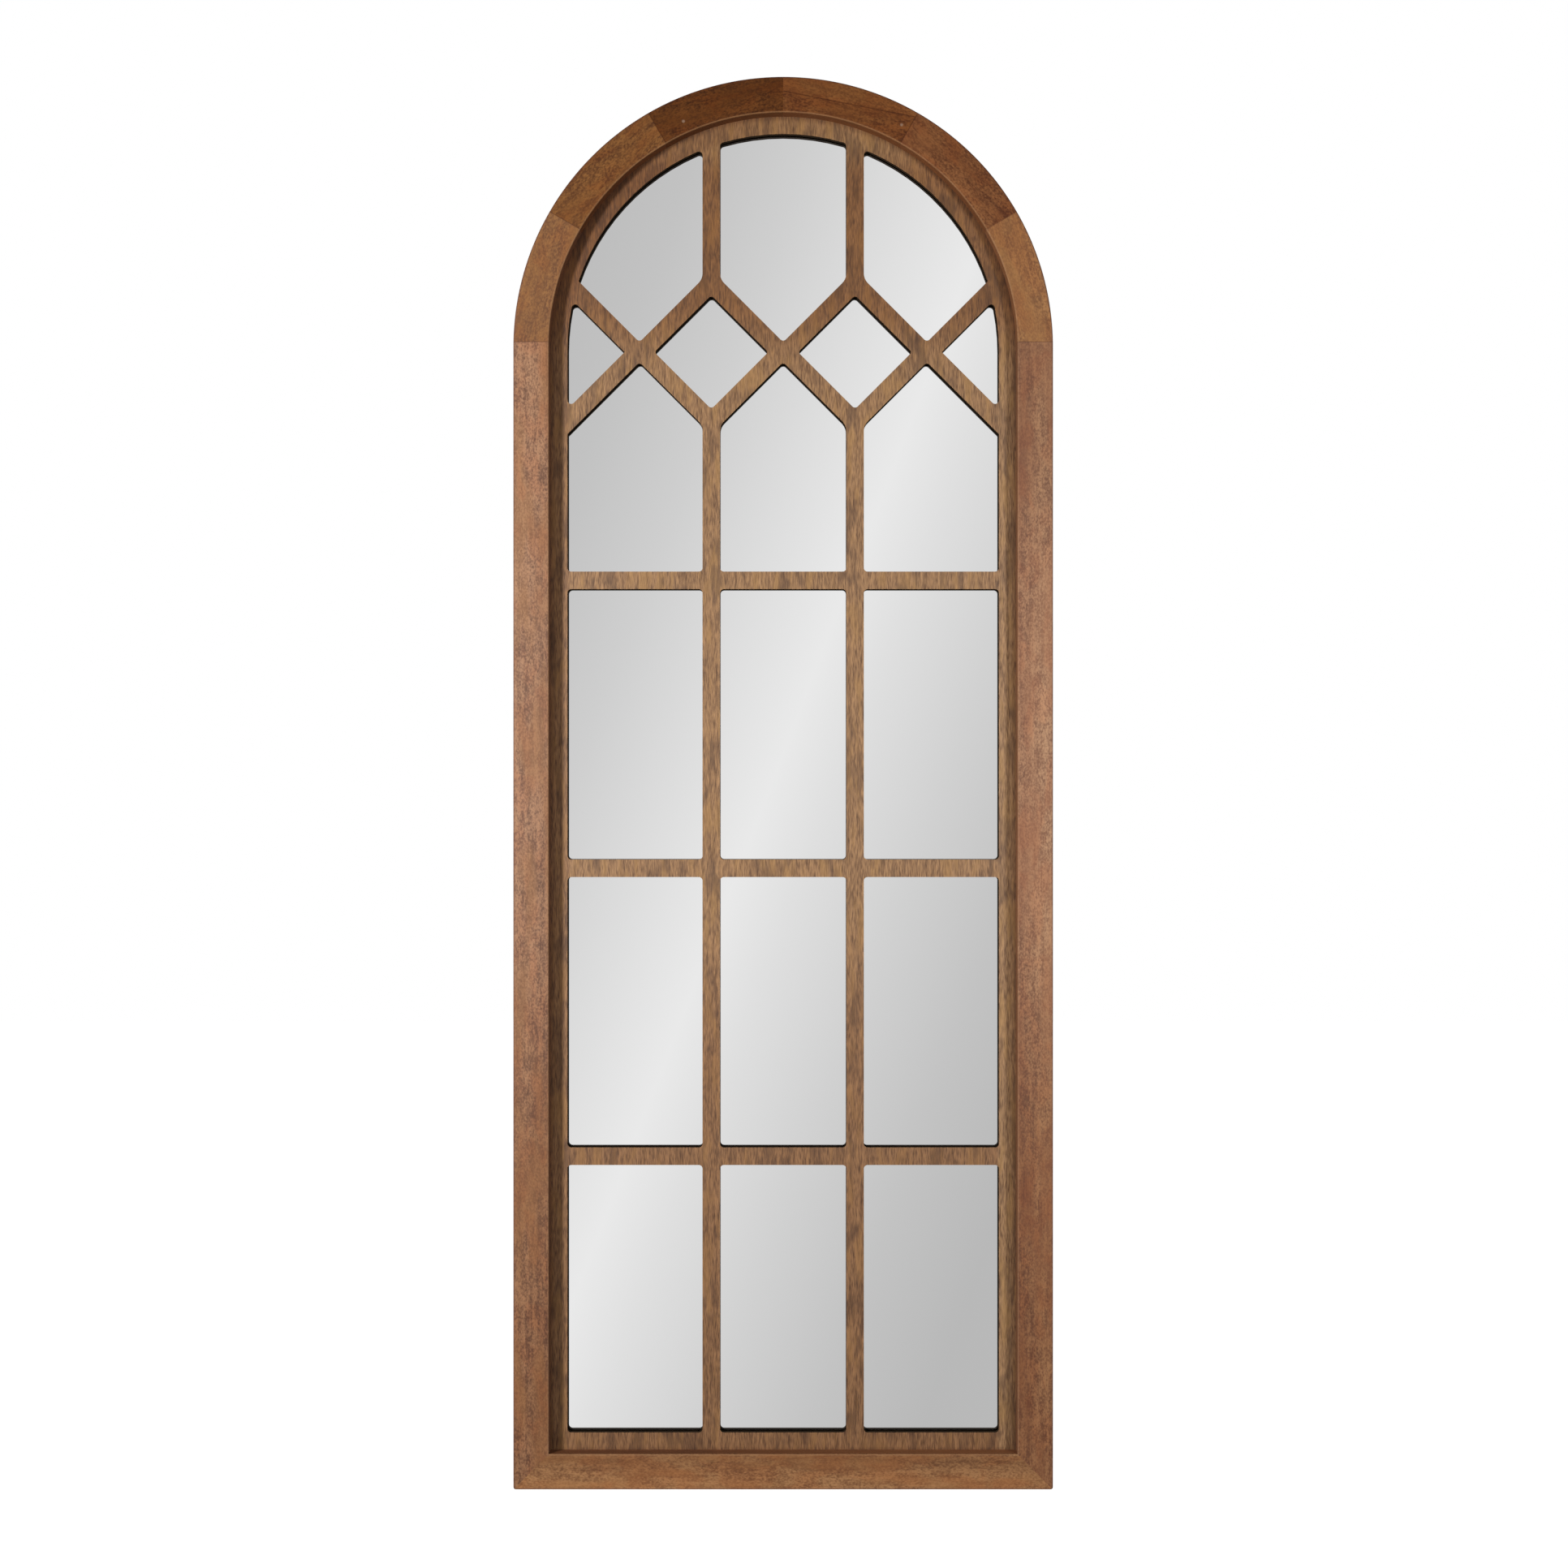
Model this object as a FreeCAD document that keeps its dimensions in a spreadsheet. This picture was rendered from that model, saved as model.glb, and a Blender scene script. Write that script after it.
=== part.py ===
import FreeCAD, Part
import math
import os

import Sketcher
from FreeCAD import Placement, Rotation, Vector

# Arched wall mirror: a wooden frame with a half-round head, a cut panel of window
# panes lying on one sheet of mirror, and hangers on the back. X runs to the right, the
# front faces -Y and Z is up. The origin is midway between the two hanger hinges, on the
# wall plane that the rubber bumpers touch.

doc = FreeCAD.newDocument("arched_window_mirror")

dimensions = {
    # Frame
    "frame_width": 457.2,
    "spring_height": 968.2,
    "face_width": 30.0,
    "frame_depth": 32.0,
    "lip_depth": 15.0,
    "rabbet_width": 9.0,
    "joint_rise": 4.0,
    "edge_ease": 1.0,
    "foot_corner_radius": 2.0,
    # Pane lattice, mirror and backing
    "lattice_thickness": 6.0,
    "lattice_clearance": 0.5,
    "border_band": 14.6,
    "bar_width": 15.0,
    "muntin_offset": 61.3,
    "first_bar_height": 280.2,
    "top_bar_drop": 192.6,
    "crossing_drop": 4.2,
    "corner_radius": 3.2,
    "blunt_corner_radius": 12.0,
    "diamond_side_radius": 2.5,
    "mirror_thickness": 3.0,
    "backing_thickness": 3.0,
    "glass_clearance": 1.5,
    # Joinery
    "dowel_diameter": 8.0,
    "dowel_length": 36.0,
    "nail_wing": 5.0,
    "nail_thickness": 0.6,
    "nail_depth": 12.0,
    "nail_inset": 7.0,
    "point_length": 16.0,
    "point_width": 6.0,
    "point_thickness": 0.8,
    "point_spacing": 300.0,
    "rail_point_offset": 110.0,
    # Hangers
    "hanger_drop": 88.2,
    "strap_width": 10.0,
    "strap_length": 42.0,
    "strap_thickness": 1.0,
    "strap_rise": 0.3,
    "strap_end_radius": 4.5,
    "screw_drop": 21.0,
    "screw_spacing": 14.0,
    "screw_hole_diameter": 4.2,
    "screw_diameter": 3.5,
    "screw_length": 16.0,
    "screw_head_diameter": 7.0,
    "screw_crown_diameter": 5.0,
    "screw_head_height": 2.0,
    "recess_length": 4.0,
    "recess_width": 1.0,
    "recess_depth": 1.2,
    "ring_wire": 2.4,
    "ring_width": 20.0,
    "ring_reach": 14.0,
    "ring_corner_radius": 2.0,
    "hinge_clearance": 0.08,
    # Bumpers
    "bumper_diameter": 12.0,
    "bumper_height": 6.0,
    "bumper_taper": 0.8,
    "bumper_ease": 1.0,
    "bumper_rise": 45.0,
}

sizes = doc.addObject("Spreadsheet::Sheet", "sizes")
for row, (alias, number) in enumerate(dimensions.items(), start=1):
    sizes.set(f"A{row}", alias)
    sizes.set(f"B{row}", str(number))
    sizes.setAlias(f"B{row}", alias)
doc.recompute()

SEGMENT_ANGLE = 30
HALF_TURN = 180
MITRE = "45 deg"
HALF_MITRE = "22.5 deg"
TOUCHING = 0.01
FRONT_AXIS = Vector(0, -1, 0)

# Places worked out from the sizes, as expression text. Heights inside the frame are
# counted from the centre of the arch, and depths from the back of the frame.
OUTER = "(sizes.frame_width / 2)"
INNER = f"({OUTER} - sizes.face_width)"
RABBET_WALL = f"({INNER} + sizes.rabbet_width)"
FOOT = "(-sizes.spring_height)"
LEDGE_HEIGHT = f"({FOOT} + sizes.face_width)"
RABBET_FOOT = f"({LEDGE_HEIGHT} - sizes.rabbet_width)"
RABBET_DEPTH = "(sizes.frame_depth - sizes.lip_depth)"
STRIP_MIDDLE = f"(({OUTER} + {RABBET_WALL}) / 2)"
ARCH_Z = "sizes.hanger_drop"
BACK_Y = "(-sizes.bumper_height)"
LATTICE_BACK = f"({RABBET_DEPTH} - sizes.lattice_thickness)"
MIRROR_BACK = f"({LATTICE_BACK} - sizes.mirror_thickness)"
BACKING_BACK = f"({MIRROR_BACK} - sizes.backing_thickness)"
BORE_RADIUS = "(sizes.ring_wire / 2 + sizes.hinge_clearance)"
BARREL_RADIUS = f"({BORE_RADIUS} + sizes.strap_thickness)"
HINGE_RISE = f"(sizes.strap_rise + {BARREL_RADIUS})"


def value(expression):
    """The number that an expression over the sheet gives."""
    return float(sizes.evalExpression(expression))


def place(piece, across="0", depth="0", up="0", turn=0):
    """Put a piece in the row frame, turned in the plane of the frame's face."""
    base = Vector(value(across), value(depth), value(up))
    piece.Placement = Placement(base, Rotation(FRONT_AXIS, turn))
    piece.setExpression("Placement.Base.x", across)
    piece.setExpression("Placement.Base.y", depth)
    piece.setExpression("Placement.Base.z", up)


def add_body(name):
    return doc.addObject("PartDesign::Body", name)


def add_sketch(body, name, plane, offset=None):
    """A sketch on one of the body's own planes, or at an offset from it."""
    sketch = body.newObject("Sketcher::SketchObject", name)
    support = next(item for item in body.Origin.OriginFeatures if item.Role == plane)
    sketch.AttachmentSupport = [(support, "")]
    sketch.MapMode = "FlatFace"
    if offset:
        sketch.AttachmentOffset = Placement(Vector(0, 0, value(offset)), Rotation())
        sketch.setExpression("AttachmentOffset.Base.z", offset)
    return sketch


def direction(vector):
    return math.atan2(vector.y, vector.x)


def draw_loop(sketch, corners, arcs=None):
    """Draw a closed loop, counter-clockwise.

    Each corner is (x, y, held), where held names the coordinates that the corner is
    dimensioned by. arcs maps the number of an edge to (centre x, centre y, radius).
    """
    arcs = arcs or {}
    first = sketch.GeometryCount
    points = [Vector(value(x), value(y), 0) for x, y, held in corners]
    ends = points[1:] + points[:1]
    edges = []
    for number, (start, end) in enumerate(zip(points, ends)):
        if number in arcs:
            centre_x, centre_y, radius = arcs[number]
            centre = Vector(value(centre_x), value(centre_y), 0)
            circle = Part.Circle(centre, Vector(0, 0, 1), value(radius))
            turn = direction(end - centre)
            if turn <= direction(start - centre):
                turn += 2 * math.pi
            edges.append(Part.ArcOfCircle(circle, direction(start - centre), turn))
        else:
            edges.append(Part.LineSegment(start, end))
    sketch.addGeometry(edges)

    count = len(corners)
    joined = [
        Sketcher.Constraint("Coincident", first + number, 2, first + (number + 1) % count, 1)
        for number in range(count)
    ]
    sketch.addConstraint(joined)

    def hold(kind, edge, end, expression):
        if kind == "Radius":
            constraint = Sketcher.Constraint(kind, edge, value(expression))
        else:
            constraint = Sketcher.Constraint(kind, -1, 1, edge, end, value(expression))
        index = sketch.addConstraint(constraint)
        sketch.setExpression(f"Constraints[{index}]", expression)

    for number, (x, y, held) in enumerate(corners):
        if "x" in held:
            hold("DistanceX", first + number, 1, x)
        if "y" in held:
            hold("DistanceY", first + number, 1, y)
    for number, (centre_x, centre_y, radius) in arcs.items():
        hold("DistanceX", first + number, 3, centre_x)
        hold("DistanceY", first + number, 3, centre_y)
        hold("Radius", first + number, 0, radius)


def draw_polygon(sketch, corners):
    draw_loop(sketch, [(x, y, "xy") for x, y in corners])


def draw_circle(sketch, x, y, radius):
    centre = Vector(value(x), value(y), 0)
    circle = sketch.addGeometry(Part.Circle(centre, Vector(0, 0, 1), value(radius)))
    for kind, expression in (("DistanceX", x), ("DistanceY", y)):
        constraint = Sketcher.Constraint(kind, -1, 1, circle, 3, value(expression))
        index = sketch.addConstraint(constraint)
        sketch.setExpression(f"Constraints[{index}]", expression)
    index = sketch.addConstraint(Sketcher.Constraint("Radius", circle, value(radius)))
    sketch.setExpression(f"Constraints[{index}]", radius)


def add_pad(body, name, sketch, length, midplane=False):
    pad = body.newObject("PartDesign::Pad", name)
    pad.Profile = sketch
    pad.Midplane = midplane
    pad.setExpression("Length", length)
    doc.recompute()
    return pad


def add_pocket(body, name, sketch, length=None, reversed_cut=True, midplane=False):
    """Cut a sketch into the body, through everything where no length is given."""
    volume = body.Tip.Shape.Volume
    pocket = body.newObject("PartDesign::Pocket", name)
    pocket.Profile = sketch
    pocket.Reversed = reversed_cut
    pocket.Midplane = midplane
    if length:
        pocket.setExpression("Length", length)
    else:
        pocket.Type = "ThroughAll"
    doc.recompute()
    if pocket.Shape.Volume >= volume:
        raise RuntimeError(f"{body.Label}.{name} cuts nothing")
    return pocket


def add_revolution(body, name, sketch, angle, reversed_turn=False):
    """Turn a sketch about the body's Y axis."""
    axis = next(item for item in body.Origin.OriginFeatures if item.Role == "Y_Axis")
    revolution = body.newObject("PartDesign::Revolution", name)
    revolution.Profile = sketch
    revolution.ReferenceAxis = (axis, [""])
    revolution.Angle = angle
    revolution.Reversed = reversed_turn
    doc.recompute()
    return revolution


def edges_through(shape, points):
    """Names of the edges that pass through the given points."""
    names = []
    for point in points:
        vertex = Part.Vertex(point)
        for number, edge in enumerate(shape.Edges, start=1):
            box = edge.BoundBox
            box.enlarge(TOUCHING)
            if box.isInside(point) and edge.distToShape(vertex)[0] < TOUCHING:
                names.append(f"Edge{number}")
                break
        else:
            raise RuntimeError(f"no edge passes through {point}")
    return names


def add_fillet(body, name, points, radius):
    base = body.Tip
    fillet = body.newObject("PartDesign::Fillet", name)
    fillet.Base = (base, edges_through(base.Shape, points))
    fillet.setExpression("Radius", radius)
    doc.recompute()
    return fillet


def point(x, y, z):
    return Vector(value(x), value(y), value(z))


# Frame: two stiles, a bottom rail and six arch segments, all with the same section.


def ease_front(body, places):
    """Ease the edges of the front face that pass through the given places."""
    points = [point(x, "-sizes.frame_depth", z) for x, z in places]
    add_fillet(body, "eased_edges", points, "sizes.edge_ease")


FOOT_ARC_X = f"({OUTER} - sizes.foot_corner_radius)"
FOOT_ARC_Z = f"({FOOT} + sizes.foot_corner_radius)"
FOOT_MITRE_X = f"({FOOT_ARC_X} + sizes.foot_corner_radius * cos({MITRE}))"
FOOT_MITRE_Z = f"({FOOT_ARC_Z} - sizes.foot_corner_radius * sin({MITRE}))"
FOOT_EASE_X = f"({FOOT_ARC_X} + sizes.foot_corner_radius * cos({HALF_MITRE}))"
FOOT_EASE_Z = f"({FOOT_ARC_Z} - sizes.foot_corner_radius * sin({HALF_MITRE}))"
STILE_MIDDLE = f"({FOOT} / 2)"


def rectangle(left, right, low, high):
    return [(left, low), (right, low), (right, high), (left, high)]


def span(side, inside, outside):
    """Left and right ends of a span on one side of the middle."""
    ends = (f"{side} * {inside}", f"{side} * {outside}")
    return ends if side > 0 else ends[::-1]


def make_stile(name, side):
    """A straight side, mitred at the foot; side is 1 on the right and -1 on the left."""
    body = add_body(name)
    corners = [
        (f"{side} * {FOOT_MITRE_X}", FOOT_MITRE_Z, "x"),
        (f"{side} * {OUTER}", FOOT_ARC_Z, "y"),
        (f"{side} * {OUTER}", "sizes.joint_rise", "xy"),
        (f"{side} * {INNER}", "sizes.joint_rise", "xy"),
        (f"{side} * {INNER}", LEDGE_HEIGHT, "xy"),
    ]
    foot_arc = (f"{side} * {FOOT_ARC_X}", FOOT_ARC_Z, "sizes.foot_corner_radius")
    outline = add_sketch(body, "outline", "XZ_Plane")
    if side > 0:
        draw_loop(outline, corners, {0: foot_arc})
    else:
        draw_loop(outline, corners[::-1], {3: foot_arc})
    add_pad(body, "blank", outline, "sizes.frame_depth")
    rabbet = add_sketch(body, "rabbet_outline", "XZ_Plane")
    left, right = span(side, f"({INNER} - sizes.rabbet_width)", RABBET_WALL)
    draw_polygon(rabbet, rectangle(left, right, FOOT, "sizes.joint_rise"))
    add_pocket(body, "rabbet", rabbet, RABBET_DEPTH)
    places = [
        (f"{side} * {INNER}", STILE_MIDDLE),
        (f"{side} * {OUTER}", STILE_MIDDLE),
        (f"{side} * {FOOT_EASE_X}", FOOT_EASE_Z),
    ]
    ease_front(body, places)
    place(body, depth=BACK_Y, up=ARCH_Z)
    return body


def make_rail(name):
    """The bottom rail, mitred at both ends."""
    body = add_body(name)
    corners = [
        (INNER, LEDGE_HEIGHT, "xy"),
        (f"-{INNER}", LEDGE_HEIGHT, "xy"),
        (f"-{FOOT_MITRE_X}", FOOT_MITRE_Z, "x"),
        (f"-{FOOT_ARC_X}", FOOT, "x"),
        (FOOT_ARC_X, FOOT, "x"),
        (FOOT_MITRE_X, FOOT_MITRE_Z, "x"),
    ]
    arcs = {
        2: (f"-{FOOT_ARC_X}", FOOT_ARC_Z, "sizes.foot_corner_radius"),
        4: (FOOT_ARC_X, FOOT_ARC_Z, "sizes.foot_corner_radius"),
    }
    outline = add_sketch(body, "outline", "XZ_Plane")
    draw_loop(outline, corners, arcs)
    add_pad(body, "blank", outline, "sizes.frame_depth")
    rabbet = add_sketch(body, "rabbet_outline", "XZ_Plane")
    above = f"{LEDGE_HEIGHT} + sizes.rabbet_width"
    draw_polygon(rabbet, rectangle(f"-{OUTER}", OUTER, RABBET_FOOT, above))
    add_pocket(body, "rabbet", rabbet, RABBET_DEPTH)
    corner_x = f"({FOOT_ARC_X} + sizes.foot_corner_radius * sin({HALF_MITRE}))"
    corner_z = f"({FOOT_ARC_Z} - sizes.foot_corner_radius * cos({HALF_MITRE}))"
    places = [("0", LEDGE_HEIGHT), ("0", FOOT), (f"-{corner_x}", corner_z), (corner_x, corner_z)]
    ease_front(body, places)
    place(body, depth=BACK_Y, up=ARCH_Z)
    return body


def make_arch_segment(name, side, start):
    """A curved piece of the head, which begins start degrees up from its own side.

    The lowest piece on each side stands on its stile a little above the arch's centre.
    """
    body = add_body(name)
    section = add_sketch(body, "section", "XY_Plane")
    front = "-sizes.frame_depth"
    step = f"-{RABBET_DEPTH}"
    corners = [
        (f"{side} * {RABBET_WALL}", "0"),
        (f"{side} * {RABBET_WALL}", step),
        (f"{side} * {INNER}", step),
        (f"{side} * {INNER}", front),
        (f"{side} * {OUTER}", front),
        (f"{side} * {OUTER}", "0"),
    ]
    draw_polygon(section, corners if side > 0 else corners[::-1])
    add_revolution(body, "sweep", section, SEGMENT_ANGLE, reversed_turn=side > 0)
    if start == 0:
        foot_cut = add_sketch(body, "foot_cut_outline", "XZ_Plane")
        inside = f"({INNER} - sizes.face_width)"
        left, right = span(side, inside, f"({OUTER} + sizes.face_width)")
        below = "-sizes.joint_rise"
        draw_polygon(foot_cut, rectangle(left, right, below, "sizes.joint_rise"))
        add_pocket(body, "foot_cut", foot_cut)
    middle = f"{SEGMENT_ANGLE / 2} deg"
    places = [
        (f"{side} * {radius} * cos({middle})", f"{radius} * sin({middle})")
        for radius in (INNER, OUTER)
    ]
    ease_front(body, places)
    place(body, depth=BACK_Y, up=ARCH_Z, turn=side * start)
    return body


# Panels in the rabbet: the pane lattice, the mirror and the backing board.


def make_panel(name, thickness, clearance, back):
    """A flat panel with a half-round head; back is its back face's depth."""
    body = add_body(name)
    radius = f"({RABBET_WALL} - {clearance})"
    foot = f"({RABBET_FOOT} + {clearance})"
    corners = [
        (f"-{radius}", foot, "xy"),
        (radius, foot, "xy"),
        (radius, "0", "y"),
        (f"-{radius}", "0", "y"),
    ]
    outline = add_sketch(body, "outline", "XZ_Plane")
    draw_loop(outline, corners, {2: ("0", "0", radius)})
    add_pad(body, "sheet", outline, thickness)
    place(body, depth=f"{BACK_Y} - {back}", up=ARCH_Z)
    return body


HALF_BAR = "(sizes.bar_width / 2)"
LEAN = "(sizes.bar_width / sqrt(2))"
WINDOW = f"({INNER} - sizes.border_band)"
MUNTIN_INSIDE = f"(sizes.muntin_offset - {HALF_BAR})"
MUNTIN_OUTSIDE = f"(sizes.muntin_offset + {HALF_BAR})"
CROSSING_X = "(2 * sizes.muntin_offset)"

# The diagonal bars under the crossings meet at the arch's centre, and the ones above
# them meet crossing_drop lower, so the bars overlap and the panes' side corners lie
# halfway between.
CROSSING_Z = "(-sizes.crossing_drop)"
BELOW_CROSSING = f"(-{LEAN})"
ABOVE_CROSSING = f"({CROSSING_Z} + {LEAN})"
SIDE_CORNER = "(sizes.crossing_drop / 2)"
FIRST_BAR = f"({FOOT} + sizes.first_bar_height)"
TOP_BAR = f"({CROSSING_Z} - sizes.top_bar_drop)"
MIDDLE_BAR = f"(({FIRST_BAR} + {TOP_BAR}) / 2)"
ROUND, BLUNT, NARROW, SHARP = "corner_radius", "blunt_corner_radius", "diamond_side_radius", None


def on_arch(x):
    """The height of the windows' arch over x."""
    return f"sqrt({WINDOW} ^ 2 - ({x}) ^ 2)"


def where_line_meets_arch(fall):
    """The x at which a line rising at 45 degrees, z = x - fall, meets the windows' arch."""
    return f"(({fall} + sqrt(2 * {WINDOW} ^ 2 - ({fall}) ^ 2)) / 2)"


def pane_rows():
    """Three rows of rectangles between the muntins and the horizontal bars."""
    openings = []
    low = f"{LEDGE_HEIGHT} + sizes.border_band"
    for bar in (FIRST_BAR, MIDDLE_BAR, TOP_BAR):
        high = f"{bar} - {HALF_BAR}"
        for left, right, crossing in bays():
            corners = [(x, z, "xy", ROUND) for x, z in rectangle(left, right, low, high)]
            openings.append((corners, None))
        low = f"{bar} + {HALF_BAR}"
    return openings


def bays():
    """Left edge, right edge and middle of the crossing, for each of the three bays."""
    return [
        (f"-{WINDOW}", f"-{MUNTIN_OUTSIDE}", f"-{CROSSING_X}"),
        (f"-{MUNTIN_INSIDE}", MUNTIN_INSIDE, "0"),
        (MUNTIN_OUTSIDE, WINDOW, CROSSING_X),
    ]


def pointed_panes():
    """Three panes with a pointed head, under the crossings of the diagonal bars."""
    openings = []
    low = f"{TOP_BAR} + {HALF_BAR}"
    for number, (left, right, crossing) in enumerate(bays()):
        at_left = SHARP if number == 0 else BLUNT
        at_right = SHARP if number == 2 else BLUNT
        corners = [
            (left, low, "xy", ROUND),
            (right, low, "xy", ROUND),
            (right, f"{BELOW_CROSSING} - ({right} - {crossing})", "xy", at_right),
            (crossing, BELOW_CROSSING, "xy", ROUND),
            (left, f"{BELOW_CROSSING} - ({crossing} - ({left}))", "xy", at_left),
        ]
        openings.append((corners, None))
    return openings


def diamond_panes():
    """Two diamonds, which take the place of the muntins between the crossings."""
    reach = f"(sizes.muntin_offset - {LEAN})"
    openings = []
    for side in (-1, 1):
        middle = f"{side} * sizes.muntin_offset"
        corners = [
            (middle, f"-{reach}", "xy", ROUND),
            (f"{middle} + {reach} - {SIDE_CORNER}", f"-{SIDE_CORNER}", "xy", NARROW),
            (middle, f"{CROSSING_Z} + {reach}", "xy", ROUND),
            (f"{middle} - {reach} + {SIDE_CORNER}", f"-{SIDE_CORNER}", "xy", NARROW),
        ]
        openings.append((corners, None))
    return openings


def mirrored(corners):
    """The same corners on the left side, in an order that runs counter-clockwise."""
    return [(f"-({x})", z, held, radius) for x, z, held, radius in corners[::-1]]


def side_panes():
    """A triangle at each side, whose outer edge runs on from the stile into the arch."""
    inner_x = f"({CROSSING_X} + {LEAN})"
    top_x = where_line_meets_arch(f"({inner_x} - {CROSSING_Z})")
    corners = [
        (f"{inner_x} + {SIDE_CORNER}", f"-{SIDE_CORNER}", "xy", SHARP),
        (WINDOW, f"-({WINDOW} - {inner_x})", "xy", ROUND),
        (WINDOW, "0", "y", SHARP),
        (top_x, on_arch(top_x), "x", ROUND),
    ]
    return [(corners, 2), (mirrored(corners), 0)]


def arch_panes():
    """Three panes under the arch, each standing on a point."""
    outer_x = where_line_meets_arch(f"({CROSSING_X} - {ABOVE_CROSSING})")
    middle = [
        (f"-{MUNTIN_INSIDE}", f"{ABOVE_CROSSING} + {MUNTIN_INSIDE}", "xy", BLUNT),
        ("0", ABOVE_CROSSING, "xy", ROUND),
        (MUNTIN_INSIDE, f"{ABOVE_CROSSING} + {MUNTIN_INSIDE}", "xy", BLUNT),
        (MUNTIN_INSIDE, on_arch(MUNTIN_INSIDE), "x", ROUND),
        (f"-{MUNTIN_INSIDE}", on_arch(MUNTIN_INSIDE), "x", ROUND),
    ]
    shoulder = f"{ABOVE_CROSSING} + ({CROSSING_X} - {MUNTIN_OUTSIDE})"
    right = [
        (MUNTIN_OUTSIDE, shoulder, "xy", BLUNT),
        (CROSSING_X, ABOVE_CROSSING, "xy", ROUND),
        (outer_x, on_arch(outer_x), "x", SHARP),
        (MUNTIN_OUTSIDE, on_arch(MUNTIN_OUTSIDE), "x", ROUND),
    ]
    return [(middle, 3), (right, 2), (mirrored(right), 0)]


def make_lattice(name):
    """The panel of window panes, cut from one sheet."""
    body = make_panel(name, "sizes.lattice_thickness", "sizes.lattice_clearance", LATTICE_BACK)
    openings = pane_rows() + pointed_panes() + diamond_panes() + side_panes() + arch_panes()
    cut = add_sketch(body, "panes", "XZ_Plane")
    for corners, arc in openings:
        arcs = {} if arc is None else {arc: ("0", "0", WINDOW)}
        draw_loop(cut, [(x, z, held) for x, z, held, radius in corners], arcs)
    add_pocket(body, "pane_cuts", cut, "sizes.lattice_thickness")
    for radius in (ROUND, BLUNT, NARROW):
        points = [
            point(x, "-sizes.lattice_thickness / 2", z)
            for corners, arc in openings
            for x, z, held, name in corners
            if name == radius
        ]
        add_fillet(body, radius, points, f"sizes.{radius}")
    return body


# Joinery and fasteners. Each is a plain solid, and the wood is cut to fit it.


def group(name, members):
    """Separate solids of one kind, kept together."""
    compound = doc.addObject("Part::Compound", name)
    compound.Links = members
    doc.recompute()
    return compound


def in_frame(centre_x, centre_z, turn, reach, drop):
    """A place reach along the direction turn and drop to its right, from a centre.

    The centre is counted from the middle of the arch, and the place is in the row frame.
    """
    across = f"{centre_x} + {reach} * cos({turn} deg) + {drop} * sin({turn} deg)"
    up = f"{ARCH_Z} + {centre_z} + {reach} * sin({turn} deg) - {drop} * cos({turn} deg)"
    return across, up


def make_dowels(name):
    """Two dowels in each butt joint of the head, one behind the other."""
    rows = [
        (f"({INNER} + sizes.face_width / 2)", "(sizes.frame_depth - sizes.lip_depth / 2)"),
        (STRIP_MIDDLE, f"({RABBET_DEPTH} / 2)"),
    ]
    dowels = []
    for turn in range(0, HALF_TURN + 1, SEGMENT_ANGLE):
        rise = "sizes.joint_rise" if turn in (0, HALF_TURN) else "0"
        for radius, depth in rows:
            dowel = doc.addObject("Part::Cylinder", "dowel")
            dowel.setExpression("Radius", "sizes.dowel_diameter / 2")
            dowel.setExpression("Height", "sizes.dowel_length")
            across, up = in_frame("0", rise, turn, radius, "sizes.dowel_length / 2")
            place(dowel, across, f"{BACK_Y} - {depth}", up, turn)
            dowels.append(dowel)
    return group(name, dowels)


def make_corner_nails(name):
    """Two nails of bent strip across each mitre, driven in from the back."""
    wing = "sizes.nail_wing"
    strip = "sizes.nail_thickness"
    bent = [("0", "0"), (wing, "0"), (wing, strip), (strip, strip), (strip, wing), ("0", wing)]
    nails = []
    for side, turn in ((-1, 0), (1, 90)):
        for number in (1, 2):
            body = add_body("corner_nail")
            sketch = add_sketch(body, "bent_strip", "XZ_Plane")
            draw_polygon(sketch, bent)
            add_pad(body, "nail", sketch, "sizes.nail_depth")
            inset = f"{number} * sizes.nail_inset"
            across = f"{side} * ({OUTER} - {inset})"
            place(body, across, BACK_Y, f"{ARCH_Z} + {FOOT} + {inset}", turn)
            nails.append(body)
    return group(name, nails)


def point_places():
    """Centre and direction of each flat point round the backing board."""
    places = []
    for turn in (0, HALF_TURN):
        for number in (-1, 0, 1):
            height = f"({STILE_MIDDLE} + {number} * sizes.point_spacing)"
            places.append(("0", height, turn, RABBET_WALL))
    for turn in range(SEGMENT_ANGLE // 2, HALF_TURN, SEGMENT_ANGLE):
        places.append(("0", "0", turn, RABBET_WALL))
    for side in (-1, 1):
        places.append((f"{side} * sizes.rail_point_offset", RABBET_FOOT, 270, "0"))
    return places


def make_backing_points(name):
    """Flat points driven into the rabbet's wall, lying on the backing board."""
    points = []
    for centre_x, centre_z, turn, wall in point_places():
        flat = doc.addObject("Part::Box", "backing_point")
        flat.setExpression("Length", "sizes.point_length")
        flat.setExpression("Width", "sizes.point_thickness")
        flat.setExpression("Height", "sizes.point_width")
        reach = f"({wall} - sizes.point_length / 2)"
        across, up = in_frame(centre_x, centre_z, turn, reach, "sizes.point_width / 2")
        place(flat, across, f"{BACK_Y} - {BACKING_BACK}", up, turn)
        points.append(flat)
    return group(name, points)


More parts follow.
